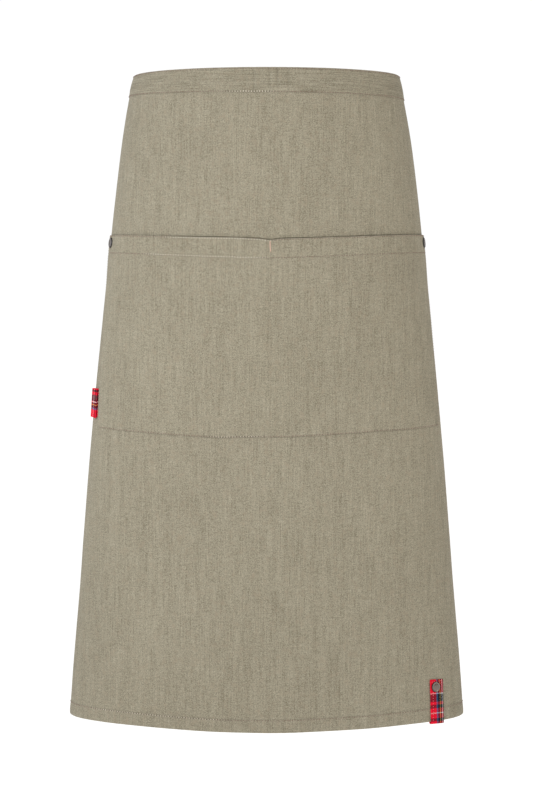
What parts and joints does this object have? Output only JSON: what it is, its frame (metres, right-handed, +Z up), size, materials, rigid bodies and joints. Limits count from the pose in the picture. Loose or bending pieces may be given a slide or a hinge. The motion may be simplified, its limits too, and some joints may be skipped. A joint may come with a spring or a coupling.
{
  "type": "bistro apron",
  "caption": "Waist apron worn closed: a flared skirt panel on a folded waistband, with a wide riveted front pocket, a side loop, a hem tab and ties at the back.",
  "frame": {"origin": "the middle of the waist ring, at half the waistband's height, where the wearer's waist is", "axes": "+Z is up, the apron's front faces -Y, and +X is to the right of somebody who looks at the front"},
  "size_m": [0.4783, 0.2109, 0.781],
  "materials": {
    "cloth": "taupe melange canvas, matte, woven",
    "ribbon": "red checked woven ribbon with blue, black, yellow and white stripes, matte",
    "rivet": "gunmetal, satin, slightly worn"
  },
  "bodies": {
    "root": {"apron_body": "cloth", "waistband": "cloth", "pocket": "cloth", "pocket_rivet_left": "rivet", "pocket_rivet_right": "rivet", "side_loop": "ribbon", "hem_tab": "ribbon", "hem_rivet": "rivet", "tie_left": "cloth", "tie_right": "cloth", "tie_knot": "cloth", "tie_tail_left": "cloth", "tie_tail_right": "cloth"}
  },
  "joints": []
}
